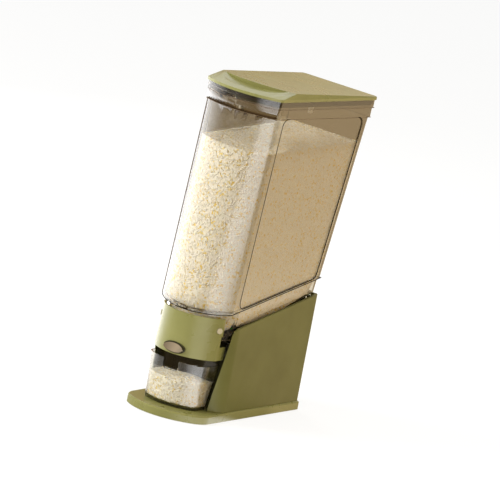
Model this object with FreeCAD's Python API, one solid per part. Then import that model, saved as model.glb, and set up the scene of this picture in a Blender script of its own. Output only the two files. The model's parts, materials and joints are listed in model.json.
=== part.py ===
import FreeCAD, Part
import math
import os

# Leaning rice bin with a push button outlet and a measuring cup.
# Millimetres. +Z is up, the front faces -Y, +X is to the right seen from the front.
# The origin is on the table, under the middle of the whole bin.

# Tray that the bin stands on
tray_front_y = -141.6
tray_half_width = 56.4
tray_bow = 26.8
tray_corner = 26.0
tray_back_y = 92.6
tray_height = 11.0
tray_wall = 2.6
tray_edge_round = 2.0
back_corner = 4.0
foot_radius = 6.5
foot_height = 2.4
foot_stand_off = 1.0
foot_side_inset = 13.0
foot_front_y = -108.0
foot_back_inset = 30.0

# Housing that carries the hopper
deck_height = 127.0
deck_slope = 10.0
housing_margin = 2.2
housing_half_width = tray_half_width - housing_margin
housing_back_y = 91.6
housing_side_wall = 3.2
housing_back_wall = 2.4
housing_corner = 26.0
housing_corner_y = -68.0
housing_bow_radius = 75.0
brow_y = -80.5
brow_lean = 7.0
brow_round = 12.0
bay_high_half_width = housing_half_width - housing_side_wall
bay_foot_inset = 9.2
bay_low_half_width = bay_high_half_width - bay_foot_inset
bay_below_deck = 27.0
bay_high_z = deck_height - bay_below_deck
bay_back_y = -50.0
bay_panel_y = -34.0
bay_panel_thickness = 2.4
bay_panel_below_deck = 43.0
bay_panel_top = deck_height - bay_panel_below_deck
rail_width = 4.0
rail_depth = 5.0
rail_front_y = -28.0
pad_thickness = 1.0
screw_boss_radius = 4.5
screw_boss_height = 22.0
screw_boss_merge = 0.8
screw_boss_back_inset = 14.0
screw_boss_front_y = -24.0
screw_shank_radius = 1.5
screw_bore_gap = 0.05
screw_head_radius = 3.0
screw_head_height = 2.0
screw_length = 16.0
screw_socket_radius = 1.0
screw_socket_depth = 1.0

# Clear hopper
level_below_deck = 8.0
hopper_level = deck_height - level_below_deck
skirt_side_gap = 1.8
skirt_side_inset = 1.2
hopper_half_width = housing_half_width - housing_side_wall - skirt_side_gap + skirt_side_inset
hopper_side_draft = 0.31
hopper_corner_y = -89.4
hopper_front_lean = 4.8
hopper_low_bow_turn = 25.92490
hopper_low_bow = hopper_half_width * math.tan(math.radians(hopper_low_bow_turn))
hopper_high_bow = 17.2
hopper_back_y = 86.8
hopper_back_lean = 11.1
hopper_front_corner = 9.5
hopper_back_corner = 5.0
hopper_wall = 2.2
step_over_deck = 19.6
step_height = deck_height + step_over_deck
step_slope = 9.3
skirt_front_inset = 9.5
skirt_back_inset = 3.4
skirt_below_deck = 14.0
floor_thickness = 2.4
floor_slope = 17.5
side_ramp_slope = 40.0
front_ramp_slope = 45.0
panel_depth = 1.0
panel_corner = 9.0
panel_front_margin = 12.0
panel_back_margin = 12.0
panel_foot_gap = 2.0

# Rim and lid share one tilted plane
lid_over_deck = 261.3
lid_plane_height = deck_height + lid_over_deck
lid_tilt = -3.83
rim_front_y = -90.4
rim_back_y = 139.9
rim_flare = 2.6
rim_half_width = hopper_half_width + rim_flare
rim_bow_radius = 83.0
rim_front_corner = 5.0
rim_back_corner = 4.5
rim_height = 9.6
rim_step_height = 12.0
rim_step_inset = 1.3
rim_wall = 1.8
rim_ledge = 8.6

# Lid
lid_overhang = 1.8
lid_edge = 3.6
lid_crown = 7.4
lid_crease_y = -57.0
lid_crease_bow = 114.0
lid_shoulder = 1.2
lid_back_margin = 1.0
lid_back_crown = 0.6
lid_wall = 2.2
lid_gap = 0.3
lid_roof = 2.0
scoop_half_length = 50.0
scoop_reach = 36.0
scoop_depth = 5.0
scoop_floor = 1.6
scoop_edge = 0.4
scoop_setback = 12.0
liner_thickness = 1.2
tab_half_width = 4.5
tab_y = 6.0
tab_drop = 15.0
tab_thickness = 1.6
plug_depth = 7.4
plug_wall = 2.0
plug_clearance = 1.9
gasket_clearance = 0.3
gasket_height = 3.2
gasket_lift = 2.2

# Outlet under the hopper
throat_half_width = 18.0
throat_front_y = -96.0
throat_back_y = -85.0
throat_below_deck = 37.0
throat_height = deck_height - throat_below_deck
throat_wall = 2.8
outlet_face = throat_height - throat_wall
flange_front_y = -102.0
flange_back_y = -68.0
flange_rise = 7.0
gate_seal_thickness = 0.8
gate_thickness = 2.4
gate_clearance = 0.3
gate_travel = 12.0
gate_half_width = 22.0
gate_lip = 2.2
gate_corner = 4.0
gate_back_y = -70.5

# Nozzle block that holds the gate
nozzle_half_width = 27.0
nozzle_front_y = -99.0
nozzle_back_y = -48.0
nozzle_end_wall = 2.0
nozzle_floor = 2.0
nozzle_side_gap = 0.4
spout_drop = 9.6
spout_wall = 1.6
nozzle_screw_x = 24.6
nozzle_screw_radius = 1.2
nozzle_screw_margin = 5.0
nozzle_screw_length = 9.0
nozzle_screw_head = 2.1
nozzle_screw_head_height = 1.4

# Return springs
spring_wire = 0.5
spring_radius = 1.2
spring_turns = 8
spring_x = 12.0
spring_end_gap = 0.1

# Front cover with its push button
cover_half_width = 43.5
cover_front_y = -119.6
cover_bow_radius = 49.0
cover_level_over_throat = 10.0
cover_level = throat_height + cover_level_over_throat
cover_corner = 6.0
cover_back_y = -78.0
cover_top_back_y = -88.0
cover_wall = 2.0
cover_below_throat = 15.8
cover_bottom = throat_height - cover_below_throat
cover_below_step = 21.4
cover_top = step_height - cover_below_step
cover_back_round = 4.5
cover_notch_low = throat_height
cover_notch_rise = 13.5
cover_notch_high = cover_notch_low + cover_notch_rise
cover_notch_y = -90.5
stud_x = 42.0
stud_below_cover_top = 14.2
stud_z = cover_top - stud_below_cover_top
stud_radius = 3.5
stud_reach = 12.0
stud_head_proud = 0.8
stud_gap = 0.3
button_over_cover_bottom = 7.8
button_z = cover_bottom + button_over_cover_bottom
button_half_width = 13.5
button_half_height = 5.6
button_depth = 8.0
cap_thickness = 2.0
button_proud = 3.0
button_dish = 1.6
bezel_wall = 1.1
button_gap = 0.3
bezel_proud = 0.6
bezel_depth = 9.0
stem_half_width = 5.0

# Measuring cup
cup_rim_gap = 7.6
cup_rim_z = cover_bottom - cup_rim_gap
cup_top_half_width = 40.4
cup_base_half_width = 36.4
cup_top_front_y = -122.6
cup_base_front_y = -121.0
cup_top_back_y = -71.5
cup_base_back_y = -78.5
cup_bow_radius = 60.0
cup_corner = 9.5
cup_back_corner = 9.0
cup_wall = 1.6
cup_base_thickness = 3.2
cup_foot_round = 2.0
notch_half_width = 10.5
notch_depth = 12.0
notch_round = 4.0

far = 600.0
cut_margin = 1.0
loft_below = 10.0
loft_above = 25.0
least_corner = 0.8


def make_arc(centre, radius, start, end):
    """arc about a vertical axis, from angle start to angle end in degrees"""
    points = []
    for share in (0.0, 0.5, 1.0):
        angle = math.radians(start + (end - start) * share)
        points.append(centre + FreeCAD.Vector(radius * math.cos(angle), radius * math.sin(angle), 0))
    return Part.Arc(*points).toShape()


def bowed_outline(half_width, front_y, back_y, bow_radius, front_corner, back_corner, z=0.0):
    """closed outline with a bowed front, straight sides and a flat back"""
    bow_y = front_y + bow_radius
    corner_x = half_width - front_corner
    reach = bow_radius - front_corner
    corner_y = bow_y - math.sqrt(reach ** 2 - corner_x ** 2)
    turn = math.degrees(math.atan2(corner_x, bow_y - corner_y))
    back_x = half_width - back_corner
    back_c = back_y - back_corner

    def at(x, y):
        return FreeCAD.Vector(x, y, z)

    edges = [
        make_arc(at(0, bow_y), bow_radius, 270 - turn, 270 + turn),
        make_arc(at(corner_x, corner_y), front_corner, 270 + turn, 360),
        Part.makeLine(at(half_width, corner_y), at(half_width, back_c)),
        make_arc(at(back_x, back_c), back_corner, 0, 90),
        Part.makeLine(at(back_x, back_y), at(-back_x, back_y)),
        make_arc(at(-back_x, back_c), back_corner, 90, 180),
        Part.makeLine(at(-half_width, back_c), at(-half_width, corner_y)),
        make_arc(at(-corner_x, corner_y), front_corner, 180, 270 - turn),
    ]
    return Part.Wire(edges)


def prism(wire, height):
    """solid of a flat outline raised along Z"""
    return Part.Face(wire).extrude(FreeCAD.Vector(0, 0, height))


def box(x0, x1, y0, y1, z0, z1):
    """box between two corners"""
    return Part.makeBox(x1 - x0, y1 - y0, z1 - z0, FreeCAD.Vector(x0, y0, z0))


def slope_drop(slope, y):
    """height that a plane of this slope gains over y"""
    return math.tan(math.radians(slope)) * y


def above(z_mid, slope=0.0):
    """everything over the plane that passes z_mid at y = 0 and climbs towards the back"""
    block = Part.makeBox(far, far, far, FreeCAD.Vector(-far / 2, -far / 2, 0))
    block.rotate(FreeCAD.Vector(0, 0, 0), FreeCAD.Vector(1, 0, 0), slope)
    block.translate(FreeCAD.Vector(0, 0, z_mid))
    return block


def below(z_mid, slope=0.0):
    """everything under the same plane"""
    block = Part.makeBox(far, far, far, FreeCAD.Vector(-far / 2, -far / 2, -far))
    block.rotate(FreeCAD.Vector(0, 0, 0), FreeCAD.Vector(1, 0, 0), slope)
    block.translate(FreeCAD.Vector(0, 0, z_mid))
    return block


def tilted(shape):
    """a shape drawn on the lid's flat plane, laid on the tilted plane of the rim"""
    shape.rotate(FreeCAD.Vector(0, 0, 0), FreeCAD.Vector(1, 0, 0), lid_tilt)
    shape.translate(FreeCAD.Vector(0, 0, lid_plane_height))
    return shape


def mirrored(shape):
    """the same shape on the other side of the bin"""
    return shape.mirror(FreeCAD.Vector(0, 0, 0), FreeCAD.Vector(1, 0, 0))


def deck_at(y):
    """height of the housing's sloping top edge at y"""
    return deck_height + slope_drop(deck_slope, y)


# Hopper outline at any height, drawn in by a side, front and back inset

def hopper_outline(z, side=0.0, front=0.0, back=0.0):
    rise = z - hopper_level
    half = hopper_half_width + slope_drop(hopper_side_draft, rise)
    bow = hopper_low_bow + (hopper_high_bow - hopper_low_bow) * rise / (lid_plane_height - hopper_level)
    bow_radius = (half ** 2 + bow ** 2) / (2 * bow)
    return bowed_outline(
        half - side,
        hopper_corner_y + slope_drop(hopper_front_lean, rise) - bow + front,
        hopper_back_y + slope_drop(hopper_back_lean, rise) - back,
        bow_radius - front,
        hopper_front_corner - side,
        hopper_back_corner - side,
        z)


def hopper_loft(z_low, z_high, side=0.0, front=0.0, back=0.0):
    ends = [hopper_outline(z, side, front, back) for z in (z_low, z_high)]
    return Part.makeLoft(ends, True, True)


def rim_outline(inset=0.0):
    """outline of the rim band, drawn flat"""
    return bowed_outline(
        rim_half_width - inset,
        rim_front_y + inset,
        rim_back_y - inset,
        rim_bow_radius - inset,
        max(rim_front_corner - inset, least_corner),
        max(rim_back_corner - inset, least_corner))


def rim_band(inset, z_low, z_high):
    """band of the rim between two heights below the lid plane"""
    band = prism(rim_outline(inset), z_high - z_low)
    band.translate(FreeCAD.Vector(0, 0, z_low))
    return tilted(band)


def funnel_space(drop):
    """room over the hopper's funnel floor, with every floor plane lowered by drop"""

    def lower(slope):
        return drop / math.cos(math.radians(slope))

    floor = throat_height - slope_drop(floor_slope, throat_back_y) - lower(floor_slope)
    front = throat_height + slope_drop(front_ramp_slope, throat_front_y) - lower(front_ramp_slope)
    room = above(floor, floor_slope)
    room = room.common(above(front, -front_ramp_slope))
    for side in (-1, 1):
        ramp = Part.makeBox(far, far, far, FreeCAD.Vector(-far / 2, -far / 2, 0))
        ramp.rotate(FreeCAD.Vector(0, 0, 0), FreeCAD.Vector(0, 1, 0), -side * side_ramp_slope)
        low = throat_height - slope_drop(side_ramp_slope, throat_half_width) - lower(side_ramp_slope)
        ramp.translate(FreeCAD.Vector(0, 0, low))
        room = room.common(ramp)
    return room


def side_panel_cutter(side):
    """shallow panel pressed into one flat side of the hopper"""
    heights = (hopper_level, lid_plane_height)
    front = [hopper_corner_y + panel_front_margin + slope_drop(hopper_front_lean, z - hopper_level)
             for z in heights]
    back = [hopper_back_y - panel_back_margin + slope_drop(hopper_back_lean, z - hopper_level)
            for z in heights]
    corners = [(front[0], heights[0]), (back[0], heights[0]), (back[1], heights[1]), (front[1], heights[1])]
    points = [FreeCAD.Vector(0, y, z) for y, z in corners]
    slab = Part.Face(Part.makePolygon(points + points[:1])).extrude(FreeCAD.Vector(far / 2, 0, 0))
    slab = slab.common(above(step_height + panel_foot_gap, step_slope))
    slab = slab.common(below(lid_plane_height - rim_height - rim_step_height, lid_tilt))
    corners = [edge for edge in slab.Edges
               if edge.BoundBox.YLength < 0.01 and edge.BoundBox.ZLength < 0.01]
    slab = slab.makeFillet(panel_corner, corners)
    slab = slab.cut(hopper_loft(*hopper_span(), panel_depth, 0, 0))
    return slab if side > 0 else mirrored(slab)


def hopper_span():
    """heights between which the hopper's slanting walls are lofted"""
    return outlet_face - loft_below, lid_plane_height + loft_above


def hopper_shell():
    skirt = (skirt_side_inset, skirt_front_inset, skirt_back_inset)
    skirt_inner = [inset + hopper_wall for inset in skirt]
    body = hopper_loft(*hopper_span()).common(above(step_height, step_slope))
    body = body.common(below(lid_plane_height, lid_tilt))
    body = body.fuse(rim_band(0, -rim_height, 0))
    body = body.fuse(rim_band(rim_step_inset, -rim_height - rim_step_height, -rim_height))
    for side in (-1, 1):
        body = body.cut(side_panel_cutter(side))
    hollow = hopper_loft(*hopper_span(), hopper_wall, hopper_wall, hopper_wall)
    body = body.cut(hollow.common(above(step_height + hopper_wall, step_slope)))
    body = body.cut(rim_band(rim_wall, -rim_ledge, rim_ledge))
    skirt_wall = hopper_loft(*hopper_span(), *skirt)
    skirt_wall = skirt_wall.common(below(step_height + hopper_wall, step_slope))
    skirt_room = hopper_loft(*hopper_span(), *skirt_inner)
    foot = deck_height - skirt_below_deck
    walls = skirt_wall.common(above(foot, deck_slope)).cut(skirt_room)
    floor = skirt_wall.common(funnel_space(floor_thickness))
    floor = floor.common(above(outlet_face))
    shell = body.fuse(walls).fuse(floor)
    room = skirt_room.common(funnel_space(0)).common(below(step_height + 2 * hopper_wall, step_slope))
    shell = shell.cut(room)
    flange = box(-nozzle_half_width, nozzle_half_width, flange_front_y, flange_back_y,
                 outlet_face, throat_height + flange_rise)
    shell = shell.fuse(flange.cut(room))
    throat = box(-throat_half_width, throat_half_width, throat_front_y, throat_back_y,
                 outlet_face - cut_margin, throat_height + floor_thickness)
    shell = shell.cut(throat).cut(nozzle_screw_shapes(screw_bore_gap))
    return shell.removeSplitter()


def tray_outline(inset=0.0):
    bow_radius = (tray_half_width ** 2 + tray_bow ** 2) / (2 * tray_bow)
    return bowed_outline(tray_half_width - inset, tray_front_y + inset, tray_back_y - inset,
                         bow_radius - inset, tray_corner - inset, max(back_corner - inset, least_corner))


def foot_places():
    side = tray_half_width - foot_side_inset
    back = tray_back_y - foot_back_inset
    return [(x, y) for x in (-side, side) for y in (foot_front_y, back)]


def screw_places():
    side = housing_half_width - housing_side_wall - screw_boss_radius + screw_boss_merge
    back = housing_back_y - screw_boss_back_inset
    return [(x, y) for x in (-side, side) for y in (screw_boss_front_y, back)]


def base_tray():
    plate = prism(tray_outline(), tray_height - foot_stand_off)
    plate.translate(FreeCAD.Vector(0, 0, foot_stand_off))
    top_edges = [edge for edge in plate.Edges
                 if edge.BoundBox.ZMin > tray_height - 0.01]
    plate = plate.makeFillet(tray_edge_round, top_edges)
    hollow = prism(tray_outline(tray_wall), tray_height - tray_wall)
    pads = []
    for x, y in foot_places():
        pads.append(Part.makeCylinder(foot_radius + tray_wall, tray_height, FreeCAD.Vector(x, y, 0)))
    plate = plate.cut(hollow.cut(Part.makeCompound(pads)))
    for x, y in foot_places():
        plate = plate.cut(Part.makeCylinder(foot_radius + screw_bore_gap, foot_height, FreeCAD.Vector(x, y, 0)))
    for x, y in screw_places():
        plate = plate.cut(Part.makeCylinder(screw_shank_radius + screw_bore_gap, tray_height + 1,
                                            FreeCAD.Vector(x, y, 0)))
    return plate.removeSplitter()


def rubber_feet():
    feet = []
    for x, y in foot_places():
        foot = Part.makeCylinder(foot_radius, foot_height, FreeCAD.Vector(x, y, 0))
        rim = [edge for edge in foot.Edges if edge.BoundBox.ZMax < 0.01]
        feet.append(foot.makeChamfer(foot_stand_off / 2, rim))
    return Part.makeCompound(feet)


def housing_outline(side_inset=0.0, back_inset=0.0):
    """the housing's plan, with the same bowed front and round corners as the tray"""
    reach = housing_bow_radius - housing_corner
    front_y = housing_corner_y - housing_bow_radius
    front_y += math.sqrt(reach ** 2 - (housing_half_width - housing_corner) ** 2)
    return bowed_outline(housing_half_width - side_inset, front_y + side_inset,
                         housing_back_y - back_inset, housing_bow_radius - side_inset,
                         housing_corner - side_inset, max(back_corner - back_inset, least_corner), tray_height)


def rail_plane():
    """height at y = 0 of the plane that the hopper's skirt stands on"""
    return deck_height - skirt_below_deck


def housing_rails():
    """ledge inside the side and back walls that carries the hopper"""
    height = deck_height + far / 4
    wide = prism(housing_outline(housing_side_wall, housing_back_wall), height)
    half = housing_half_width - housing_side_wall - rail_width
    back = housing_back_y - housing_back_wall
    ring = wide.common(box(-far / 4, far / 4, rail_front_y, back, 0, height))
    ring = ring.cut(box(-half, half, rail_front_y - 1, back - rail_width, 0, height))
    top = rail_plane() - pad_thickness
    return ring.common(below(top, deck_slope)).common(above(top - rail_depth, deck_slope))


def brow_profile():
    """everything under the sloping deck and behind the rounded brow"""
    front = Part.makeBox(far, far, far, FreeCAD.Vector(-far / 2, 0, -far / 2))
    front.rotate(FreeCAD.Vector(0, 0, 0), FreeCAD.Vector(1, 0, 0), -brow_lean)
    front.translate(FreeCAD.Vector(0, brow_y, bay_high_z))
    profile = below(deck_height, deck_slope).common(front)
    brow = [edge for edge in profile.Edges
            if edge.BoundBox.YMax < brow_y + brow_round and edge.BoundBox.ZMin > bay_high_z]
    return profile.makeFillet(brow_round, brow)


def bay_opening():
    """opening in the housing's front, narrower at the foot"""
    top = deck_height + far / 4
    corners = [(-bay_low_half_width, tray_height), (bay_low_half_width, tray_height),
               (bay_high_half_width, bay_high_z), (bay_high_half_width, top),
               (-bay_high_half_width, top), (-bay_high_half_width, bay_high_z)]
    points = [FreeCAD.Vector(x, -far / 2, z) for x, z in corners]
    opening = Part.Face(Part.makePolygon(points + points[:1]))
    return opening.extrude(FreeCAD.Vector(0, bay_back_y + far / 2, 0))


def base_housing():
    height = deck_height + far / 4
    block = prism(housing_outline(), height).common(brow_profile())
    room = prism(housing_outline(housing_side_wall, housing_back_wall), height)
    shell = block.cut(room).cut(bay_opening()).fuse(housing_rails())
    for x, y in screw_places():
        boss = Part.makeCylinder(screw_boss_radius, screw_boss_height, FreeCAD.Vector(x, y, tray_height))
        shell = shell.fuse(boss)
    for x, y in screw_places():
        bore = Part.makeCylinder(screw_shank_radius + screw_bore_gap, screw_length,
                                 FreeCAD.Vector(x, y, tray_height - 1))
        shell = shell.cut(bore)
    return shell.removeSplitter()


def bay_panel():
    """upright panel that closes the housing behind the cup"""
    half = housing_half_width - housing_side_wall
    return box(-half, half, bay_panel_y, bay_panel_y + bay_panel_thickness, tray_height, bay_panel_top)


def hopper_pads():
    """thin rubber strips on the rails, under the hopper's skirt"""
    rails = []
    for side in (-1, 1):
        inner = housing_half_width - housing_side_wall - rail_width
        outer = housing_half_width - housing_side_wall - screw_bore_gap
        x0, x1 = sorted((side * inner, side * outer))
        strip = box(x0, x1, rail_front_y, housing_back_y - housing_back_wall - rail_width, 0, far / 2)
        strip = strip.common(below(rail_plane(), deck_slope))
        rails.append(strip.common(above(rail_plane() - pad_thickness, deck_slope)))
    return Part.makeCompound(rails)


def screw(x, y, head_z, shank_radius, head_radius, head_height, length):
    """screw driven upwards, with a hex socket in its head"""
    shape = Part.makeCylinder(shank_radius, length, FreeCAD.Vector(x, y, head_z))
    head = Part.makeCylinder(head_radius, head_height, FreeCAD.Vector(x, y, head_z - head_height))
    points = []
    for corner in range(7):
        angle = math.radians(60 * corner)
        points.append(FreeCAD.Vector(x + screw_socket_radius * math.cos(angle),
                                     y + screw_socket_radius * math.sin(angle), head_z - head_height))
    socket = Part.Face(Part.makePolygon(points)).extrude(FreeCAD.Vector(0, 0, screw_socket_depth))
    return shape.fuse(head).cut(socket).removeSplitter()


def base_screws():
    head_z = tray_height - tray_wall
    return Part.makeCompound([
        screw(x, y, head_z, screw_shank_radius, screw_head_radius, screw_head_height, screw_length)
        for x, y in screw_places()])


def gate_top():
    return outlet_face - gate_seal_thickness - gate_clearance


def nozzle_floor_top():
    return gate_top() - gate_thickness - gate_clearance


def nozzle_screw_places():
    rows = (nozzle_front_y + nozzle_screw_margin - nozzle_floor, flange_back_y - nozzle_screw_margin)
    return [(x, y) for x in (-nozzle_screw_x, nozzle_screw_x) for y in rows]


def nozzle_screw_shapes(gap=0.0):
    base = nozzle_floor_top() - nozzle_floor
    return Part.makeCompound([
        Part.makeCylinder(nozzle_screw_radius + gap, nozzle_screw_length + gap, FreeCAD.Vector(x, y, base))
        for x, y in nozzle_screw_places()])


def nozzle_screws():
    base = nozzle_floor_top() - nozzle_floor
    return Part.makeCompound([
        screw(x, y, base, nozzle_screw_radius, nozzle_screw_head, nozzle_screw_head_height,
              nozzle_screw_length)
        for x, y in nozzle_screw_places()])


def gate_seal():
    """flat gasket round the throat"""
    rim = gate_half_width - throat_half_width - 1
    ring = box(-throat_half_width - rim, throat_half_width + rim, throat_front_y - rim, throat_back_y + rim,
               outlet_face - gate_seal_thickness, outlet_face)
    hole = box(-throat_half_width, throat_half_width, throat_front_y, throat_back_y,
               outlet_face - gate_seal_thickness - 1, outlet_face + 1)
    return ring.cut(hole)


def outlet_nozzle():
    """channel under the hopper that guides the gate and ends in a spout over the cup"""
    top = nozzle_floor_top()
    block = box(-nozzle_half_width, nozzle_half_width, nozzle_front_y, nozzle_back_y,
                top - nozzle_floor, outlet_face)
    channel = gate_half_width + nozzle_side_gap
    block = block.cut(box(-channel, channel, nozzle_front_y - 1, nozzle_back_y - nozzle_end_wall,
                          top, outlet_face + 1))
    spout = box(-throat_half_width - spout_wall, throat_half_width + spout_wall,
                throat_front_y - spout_wall, throat_back_y + spout_wall,
                top - nozzle_floor - spout_drop, top - nozzle_floor)
    block = block.fuse(spout)
    block = block.cut(box(-throat_half_width, throat_half_width, throat_front_y, throat_back_y,
                          top - nozzle_floor - spout_drop - 1, top + 1))
    pins = [Part.makeCylinder(spring_radius - spring_wire, nozzle_end_wall * 2,
                              FreeCAD.Vector(x, nozzle_back_y - nozzle_end_wall, spring_z()),
                              FreeCAD.Vector(0, -1, 0)) for x in (-spring_x, spring_x)]
    block = block.multiFuse(pins)
    return block.cut(nozzle_screw_shapes(screw_bore_gap)).removeSplitter()


def spring_z():
    return gate_top() - gate_thickness / 2


def gate_front_y():
    """front edge of the gate, a lip's width ahead of its window"""
    return throat_front_y - gate_travel - gate_lip


def gate_slide():
    """sliding plate whose window meets the throat when the button is pressed"""
    plate = box(-gate_half_width, gate_half_width, gate_front_y(), gate_back_y,
                gate_top() - gate_thickness, gate_top())
    corners = [edge for edge in plate.Edges
               if edge.BoundBox.YMax < gate_front_y() + 0.01 and edge.BoundBox.XLength < 0.01]
    plate = plate.makeFillet(gate_corner, corners)
    window = box(-throat_half_width, throat_half_width, throat_front_y - gate_travel,
                 throat_back_y - gate_travel, gate_top() - gate_thickness - 1, gate_top() + 1)
    plate = plate.cut(window)
    stem = box(-stem_half_width, stem_half_width, plunger_back_y(), gate_front_y() + gate_lip / 2,
               gate_top() - gate_thickness, gate_top())
    return plate.fuse(stem).removeSplitter()


def return_springs():
    """two coil springs that push the gate shut"""
    length = (nozzle_back_y - nozzle_end_wall - spring_end_gap) - (gate_back_y + spring_end_gap)
    coils = []
    for x in (-spring_x, spring_x):
        height = length - spring_wire
        helix = Part.makeHelix(height / spring_turns, height, spring_radius)
        wire = Part.Wire(helix.Edges)
        start = wire.OrderedVertexes[0].Point
        ring = Part.Wire(Part.makeCircle(spring_wire / 2, start, FreeCAD.Vector(0, 1, 0)))
        coil = wire.makePipeShell([ring], True, True)
        coil.rotate(FreeCAD.Vector(0, 0, 0), FreeCAD.Vector(1, 0, 0), -90)
        coil.translate(FreeCAD.Vector(x, gate_back_y + spring_end_gap + spring_wire / 2, spring_z()))
        coils.append(coil)
    return Part.makeCompound(coils)


# Front cover and push button

def cover_outline(z, inset=0.0):
    rise = z - cover_level
    return bowed_outline(cover_half_width - inset,
                         cover_front_y + slope_drop(hopper_front_lean, rise) + inset,
                         cover_back_y + far / 10,
                         cover_bow_radius - inset, cover_corner - inset, cover_corner, z)


def cover_front_at(z):
    return cover_front_y + slope_drop(hopper_front_lean, z - cover_level)


def ellipse_prism(half_width, half_height, y0, y1):
    """elliptical rod along Y, round the button's axis"""
    centre = FreeCAD.Vector(0, y0, button_z)
    curve = Part.Ellipse(centre + FreeCAD.Vector(half_width, 0, 0),
                         centre + FreeCAD.Vector(0, 0, half_height), centre)
    return Part.Face(Part.Wire(curve.toShape())).extrude(FreeCAD.Vector(0, y1 - y0, 0))


def bezel_front_y():
    return cover_front_at(button_z) - bezel_proud


def plunger_back_y():
    return cover_front_at(button_z) - button_proud + button_depth


def round_corner_cutter(y, z, radius, wide):
    """what rounding takes off an edge along X whose back upper corner is at y, z"""
    block = box(-wide, wide, y - radius, y + radius, z - radius, z + radius)
    rod = Part.makeCylinder(radius, 2 * wide, FreeCAD.Vector(-wide, y - radius, z - radius),
                            FreeCAD.Vector(1, 0, 0))
    return block.cut(rod)


def gate_cover():
    ends = (cover_bottom, cover_top)
    outer = Part.makeLoft([cover_outline(z) for z in ends], True, True)
    deep = (cover_bottom - cover_wall, cover_top + cover_wall)
    inner = Part.makeLoft([cover_outline(z, cover_wall) for z in deep], True, True)
    shell = outer.cut(inner)
    wide = cover_half_width + cut_margin
    behind = ((cover_back_y, cover_bottom - cut_margin, cover_notch_low),
              (cover_notch_y, cover_notch_low, cover_notch_high),
              (cover_top_back_y, cover_notch_high, cover_top + cut_margin))
    for back_y, low, high in behind:
        shell = shell.cut(box(-wide, wide, back_y, far, low, high))
    shell = shell.cut(round_corner_cutter(cover_top_back_y, cover_top, cover_back_round, wide))
    hole = ellipse_prism(button_half_width + button_gap + bezel_wall,
                         button_half_height + button_gap + bezel_wall,
                         cover_front_at(button_z) - bezel_depth, cover_front_at(button_z) + bezel_depth)
    shell = shell.cut(hole)
    for side in (-1, 1):
        shell = shell.cut(stud_rod(side, stud_radius + stud_gap))
    return shell.removeSplitter()


def stud_rod(side, radius):
    """rod square to the cover at one of its two holding holes"""
    bow_y = cover_front_at(stud_z) + cover_bow_radius
    out = FreeCAD.Vector(side * stud_x, -math.sqrt(cover_bow_radius ** 2 - stud_x ** 2), 0)
    out.normalize()
    foot = FreeCAD.Vector(0, bow_y, stud_z) + out * (cover_bow_radius - stud_reach)
    return Part.makeCylinder(radius, stud_reach + stud_head_proud, foot, out)


def cover_studs():
    """clear studs on the hopper that the cover snaps on to"""
    hopper = hopper_loft(*hopper_span(), skirt_side_inset, skirt_front_inset, skirt_back_inset)
    return Part.makeCompound([stud_rod(side, stud_radius).cut(hopper) for side in (-1, 1)])


def button_bezel():
    front = bezel_front_y()
    outer = ellipse_prism(button_half_width + button_gap + bezel_wall,
                          button_half_height + button_gap + bezel_wall, front, front + bezel_depth)
    inner = ellipse_prism(button_half_width + button_gap, button_half_height + button_gap,
                          front - 1, front + bezel_depth + 1)
    return outer.cut(inner)


def button_cap():
    """plated cap with a finger dish"""
    front = cover_front_at(button_z) - button_proud
    cap = ellipse_prism(button_half_width, button_half_height, front, front + cap_thickness)
    dish_radius = (button_half_width ** 2 + button_dish ** 2) / (2 * button_dish)
    dish = Part.makeSphere(dish_radius, FreeCAD.Vector(0, front - dish_radius + button_dish, button_z))
    return cap.cut(dish)


def button_plunger():
    front = cover_front_at(button_z) - button_proud + cap_thickness
    plunger = ellipse_prism(button_half_width - bezel_wall / 2, button_half_height - bezel_wall / 2,
                            front, plunger_back_y())
    pocket = ellipse_prism(button_half_width - 2 * bezel_wall, button_half_height - 2 * bezel_wall,
                           front + bezel_wall, plunger_back_y() + 1)
    rib = box(-stem_half_width, stem_half_width, front, plunger_back_y(),
              button_z - button_half_height, button_z + button_half_height)
    return plunger.cut(pocket.cut(rib)).removeSplitter()


# Measuring cup

def cup_outline(z, inset=0.0):
    share = (z - tray_height) / (cup_rim_z - tray_height)

    def mix(low, high):
        return low + (high - low) * share

    return bowed_outline(mix(cup_base_half_width, cup_top_half_width) - inset,
                         mix(cup_base_front_y, cup_top_front_y) + inset,
                         mix(cup_base_back_y, cup_top_back_y) - inset,
                         cup_bow_radius - inset, cup_corner - inset, cup_back_corner - inset, z)


def measuring_cup():
    outer = Part.makeLoft([cup_outline(z) for z in (tray_height, cup_rim_z)], True, True)
    foot = [edge for edge in outer.Edges if edge.BoundBox.ZMax < tray_height + 0.01]
    outer = outer.makeFillet(cup_foot_round, foot)
    ends = (tray_height + cup_base_thickness, cup_rim_z + cut_margin)
    inner = Part.makeLoft([cup_outline(z, cup_wall) for z in ends], True, True)
    floor = [edge for edge in inner.Edges if edge.BoundBox.ZMax < tray_height + cup_base_thickness + 0.01]
    inner = inner.makeFillet(cup_foot_round, floor)
    cup = outer.cut(inner)
    low = cup_rim_z - notch_depth
    side = FreeCAD.Vector(notch_half_width - notch_round, 0, 0)
    depth = cup_base_back_y - cup_base_front_y
    lip = box(-notch_half_width, notch_half_width, cup_base_front_y - depth, cup_base_front_y + depth / 2,
              low, cup_rim_z + notch_depth)
    corners = [edge for edge in lip.Edges
               if edge.BoundBox.XLength < 0.01 and edge.BoundBox.ZMax < low + 0.01]
    lip = lip.makeFillet(notch_round, corners)
    return cup.cut(lip).removeSplitter()


# Lid

def lid_outline(inset=0.0, z=0.0):
    wire = rim_outline(inset - lid_overhang)
    wire.translate(FreeCAD.Vector(0, 0, z))
    return wire


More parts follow.
